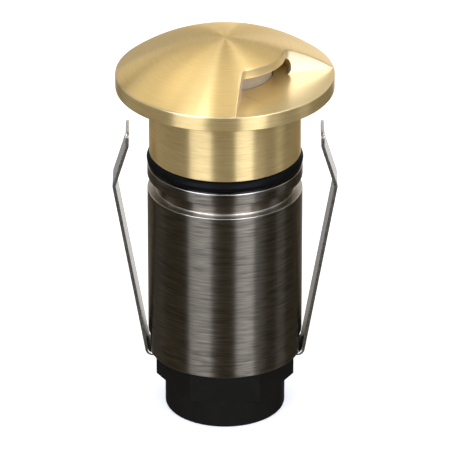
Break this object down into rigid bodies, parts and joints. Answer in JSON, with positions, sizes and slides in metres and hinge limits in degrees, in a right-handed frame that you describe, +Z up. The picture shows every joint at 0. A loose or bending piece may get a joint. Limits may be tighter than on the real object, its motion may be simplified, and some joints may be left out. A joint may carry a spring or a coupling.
{
  "type": "recessed deck light",
  "caption": "Recessed deck light with a domed hood and one scooped light window on a round sleeve, held by spring clips and closed by a hexagonal cable gland.",
  "frame": {"origin": "centre of the gland's bottom face, on the light's axis", "axes": "+Z up along the light's axis to the top of the hood, +X through the right spring clip, -Y towards the front, with the light window at the front right"},
  "size_m": [0.0462, 0.0448, 0.0834],
  "materials": {
    "brushed_brass": "circular brushed, clear lacquer",
    "frosted_lens": "frosted, milky",
    "silicone": "matt",
    "turned_aluminium": "turned",
    "seal_rubber": "moulded, matt",
    "gunmetal_sleeve": "brushed round, dark bronze grey",
    "black_nylon": "moulded, satin",
    "spring_steel": "bright spring strip",
    "white_board": "solder mask",
    "emitter": "phosphor",
    "white_plastic": "moulded",
    "screw_steel": "plated",
    "green_board": "solder mask",
    "ferrite": "ferrite and enamelled wire",
    "capacitor_can": "sleeved can",
    "chip_black": "moulded",
    "terminal_green": "moulded",
    "lead_black": "insulated wire",
    "lead_red": "insulated wire"
  },
  "bodies": {
    "root": {"hood": "brushed_brass", "lens": "frosted_lens", "lens_gasket": "silicone", "lens_retaining_ring": "turned_aluminium", "neck_o_ring": "seal_rubber", "body_sleeve": "gunmetal_sleeve", "gland_body": "black_nylon", "gland_grommet": "seal_rubber", "base_gasket": "seal_rubber", "clip_base": "spring_steel", "heat_sink": "turned_aluminium", "led_board": "white_board", "led_emitter": "emitter", "reflector": "white_plastic", "led_board_screws": "screw_steel", "driver_cradle": "white_plastic", "driver_board": "green_board", "driver_inductor": "ferrite", "driver_capacitor": "capacitor_can", "driver_chip": "chip_black", "terminal_block": "terminal_green", "left_led_lead": "lead_black", "right_led_lead": "lead_red"},
    "left_clip": {"left_clip_leg": "spring_steel"},
    "right_clip": {"right_clip_leg": "spring_steel"},
    "gland_washer": {"gland_slip_washer": "black_nylon"},
    "gland_nut": {"gland_clamp_nut": "black_nylon"}
  },
  "joints": [
    {"name": "left_clip_flex", "type": "hinge", "parent": "root", "child": "left_clip", "pos_m": [-0.01508, 0, 0.014], "axis": [0, 1, 0], "range_deg": [0, 4.2], "stiffness_Nm_per_rad": 2.6},
    {"name": "right_clip_flex", "type": "hinge", "parent": "root", "child": "right_clip", "pos_m": [0.01508, 0, 0.014], "axis": [0, -1, 0], "range_deg": [0, 4.2], "stiffness_Nm_per_rad": 2.6},
    {"name": "gland_washer_slide", "type": "slide", "parent": "root", "child": "gland_washer", "axis": [0, 0, -1], "range_m": [0, 0.0007]},
    {"name": "gland_nut_turn", "type": "hinge", "parent": "gland_washer", "child": "gland_nut", "pos_m": [0, 0, 0.0024], "axis": [0, 0, -1], "range_deg": [0, 361]}
  ],
  "couplings": [
    {"joint": "gland_nut_turn", "follows": "gland_washer_slide", "rad_per_m": 8976}
  ]
}
